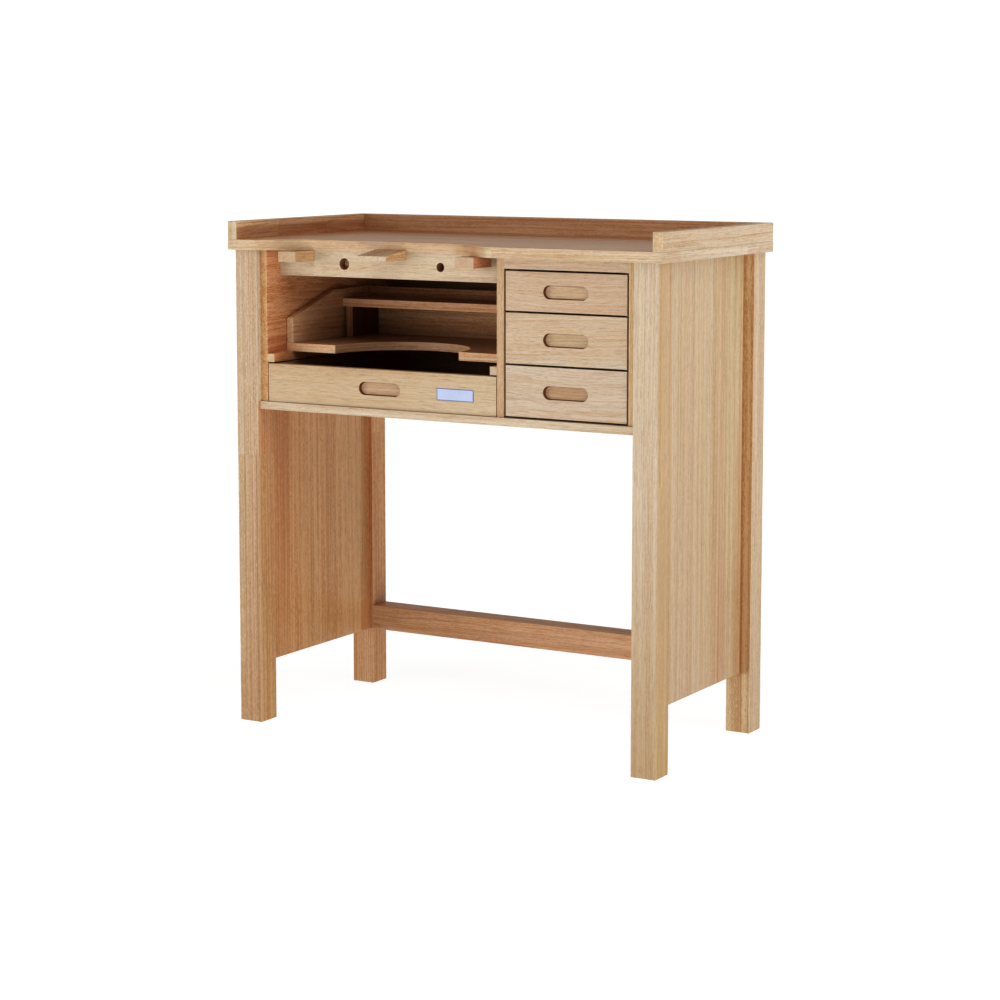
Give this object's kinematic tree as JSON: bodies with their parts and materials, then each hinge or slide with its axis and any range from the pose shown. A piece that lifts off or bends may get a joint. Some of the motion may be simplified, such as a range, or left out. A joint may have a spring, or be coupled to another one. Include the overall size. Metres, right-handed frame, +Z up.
{
  "type": "jewelers bench",
  "caption": "Wooden jewelers bench with gallery worktop, sitter's cut-out, bench pin, pull-out arm rests, work tray, catch drawer and side drawers.",
  "frame": {"origin": "centre of the bench's footprint on the floor", "axes": "+Z up, front of the bench towards -Y, +X to the right seen from the front"},
  "size_m": [0.94, 0.474, 0.984],
  "materials": {
    "worktop": "fine horizontal grain, satin lacquer",
    "gallery": "straight grain, satin lacquer",
    "frame_wood": "vertical grain in glued staves, satin lacquer",
    "panel_wood": "vertical glued staves, satin lacquer",
    "carcass_wood": "straight grain, satin lacquer",
    "tray_wood": "straight grain, satin lacquer",
    "front_wood": "fine horizontal grain, satin lacquer",
    "box_wood": "straight grain, thin lacquer",
    "box_bottom": "plywood, thin lacquer",
    "rest_wood": "straight grain, satin lacquer",
    "dowel_wood": "raw fluteless dowel",
    "screw_steel": "zinc plated",
    "label_plate": "satin, blank"
  },
  "bodies": {
    "root": {"worktop": "worktop", "gallery_left": "gallery", "gallery_right": "gallery", "gallery_back": "gallery", "leg_front_left": "frame_wood", "leg_front_right": "frame_wood", "leg_rear_left": "frame_wood", "leg_rear_right": "frame_wood", "rear_stretcher": "frame_wood", "side_panel_left": "panel_wood", "side_panel_right": "panel_wood", "bottom_board": "carcass_wood", "case_panel_left": "carcass_wood", "case_panel_right": "carcass_wood", "divider_panel": "carcass_wood", "case_back_panel": "carcass_wood", "drawer_top_rail": "carcass_wood", "pin_rail": "carcass_wood", "tray_runner_left": "carcass_wood", "tray_runner_right": "carcass_wood", "drawer_runners": "carcass_wood", "drawer_guide_slips": "carcass_wood", "drawer_stops": "carcass_wood", "arm_rest_guide_left": "carcass_wood", "arm_rest_guide_right": "carcass_wood", "worktop_dowels": "dowel_wood", "guide_screws": "screw_steel"},
    "work_tray": {"tray_board": "tray_wood", "tray_side_left": "tray_wood", "tray_side_right": "tray_wood", "tray_back": "tray_wood", "tray_upper_shelf": "tray_wood", "tray_upright_left": "tray_wood", "tray_upright_right": "tray_wood"},
    "catch_drawer": {"catch_drawer_front": "front_wood", "catch_drawer_side_left": "box_wood", "catch_drawer_side_right": "box_wood", "catch_drawer_back": "box_wood", "catch_drawer_bottom": "box_bottom", "catch_drawer_plate": "label_plate"},
    "arm_rest_left": {"arm_rest_left": "rest_wood", "arm_rest_peg_left": "dowel_wood"},
    "arm_rest_right": {"arm_rest_right": "rest_wood", "arm_rest_peg_right": "dowel_wood"},
    "bench_pin": {"bench_pin": "rest_wood"},
    "drawer_top": {"drawer_top_front": "front_wood", "drawer_top_side_left": "box_wood", "drawer_top_side_right": "box_wood", "drawer_top_back": "box_wood", "drawer_top_bottom": "box_bottom"},
    "drawer_middle": {"drawer_middle_front": "front_wood", "drawer_middle_side_left": "box_wood", "drawer_middle_side_right": "box_wood", "drawer_middle_back": "box_wood", "drawer_middle_bottom": "box_bottom"},
    "drawer_bottom": {"drawer_bottom_front": "front_wood", "drawer_bottom_side_left": "box_wood", "drawer_bottom_side_right": "box_wood", "drawer_bottom_back": "box_wood", "drawer_bottom_bottom": "box_bottom"}
  },
  "joints": [
    {"name": "work_tray_slide", "type": "slide", "parent": "root", "child": "work_tray", "axis": [0, -1, 0], "range_m": [0, 0.25]},
    {"name": "catch_drawer_slide", "type": "slide", "parent": "root", "child": "catch_drawer", "axis": [0, -1, 0], "range_m": [0, 0.3]},
    {"name": "drawer_top_slide", "type": "slide", "parent": "root", "child": "drawer_top", "axis": [0, -1, 0], "range_m": [0, 0.3]},
    {"name": "drawer_middle_slide", "type": "slide", "parent": "root", "child": "drawer_middle", "axis": [0, -1, 0], "range_m": [0, 0.3]},
    {"name": "drawer_bottom_slide", "type": "slide", "parent": "root", "child": "drawer_bottom", "axis": [0, -1, 0], "range_m": [0, 0.3]},
    {"name": "arm_rest_left_slide", "type": "slide", "parent": "root", "child": "arm_rest_left", "axis": [0, -1, 0], "range_m": [0, 0.115]},
    {"name": "arm_rest_right_slide", "type": "slide", "parent": "root", "child": "arm_rest_right", "axis": [0, -1, 0], "range_m": [0, 0.115]},
    {"name": "bench_pin_pull", "type": "slide", "parent": "root", "child": "bench_pin", "axis": [0, -1, 0], "range_m": [0, 0.045]}
  ]
}
